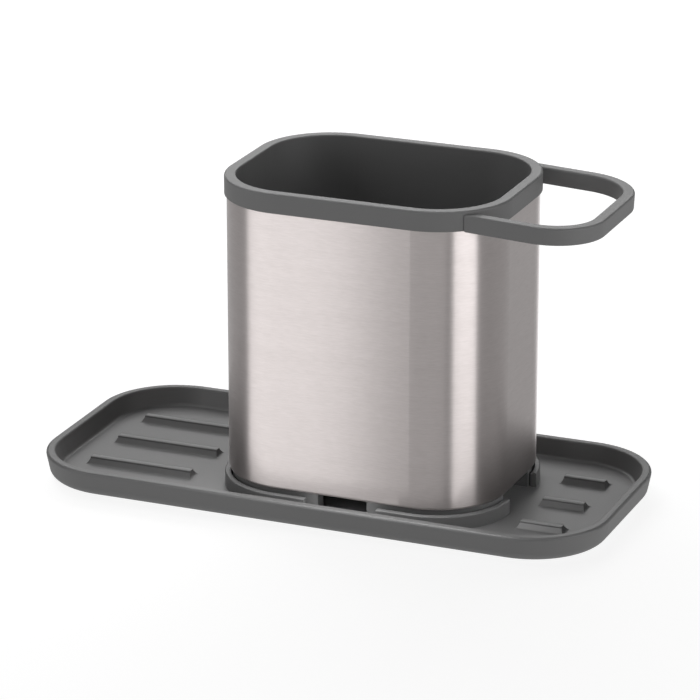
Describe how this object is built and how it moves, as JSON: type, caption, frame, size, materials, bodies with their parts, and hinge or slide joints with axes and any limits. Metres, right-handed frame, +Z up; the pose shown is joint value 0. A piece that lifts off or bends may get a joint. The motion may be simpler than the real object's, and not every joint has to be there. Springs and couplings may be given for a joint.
{
  "type": "kitchen sink caddy",
  "caption": "Sink caddy: brushed steel pot with a lift-out grey liner, standing in a collar on a long ribbed drip tray, with a flat loop beside its rim to hang a cloth on.",
  "frame": {"origin": "on the counter, under the middle of the tray", "axes": "+X along the tray to the cloth loop's end, +Y to the back, +Z up"},
  "size_m": [0.2838, 0.1318, 0.1582],
  "materials": {
    "tray_plastic": "fine matt moulded polypropylene, dark grey",
    "base_plastic": "fine matt moulded polypropylene, dark grey",
    "liner_plastic": "fine matt moulded polypropylene, dark grey",
    "sleeve_steel": "stainless sheet, brushed round the sleeve",
    "foot_rubber": "soft matt elastomer, charcoal"
  },
  "bodies": {
    "tray": {"base_tray": "tray_plastic", "foot_front_left": "foot_rubber", "foot_front_right": "foot_rubber", "foot_back_left": "foot_rubber", "foot_back_right": "foot_rubber"},
    "caddy": {"steel_sleeve": "sleeve_steel", "sleeve_base": "base_plastic"},
    "liner": {"inner_pot": "liner_plastic", "cloth_loop": "liner_plastic"}
  },
  "joints": [
    {"name": "caddy_lift", "type": "slide", "parent": "tray", "child": "caddy", "axis": [0, 0, 1], "range_m": [0, 0.03]},
    {"name": "pot_lift", "type": "slide", "parent": "caddy", "child": "liner", "axis": [0, 0, 1], "range_m": [0, 0.14]}
  ]
}
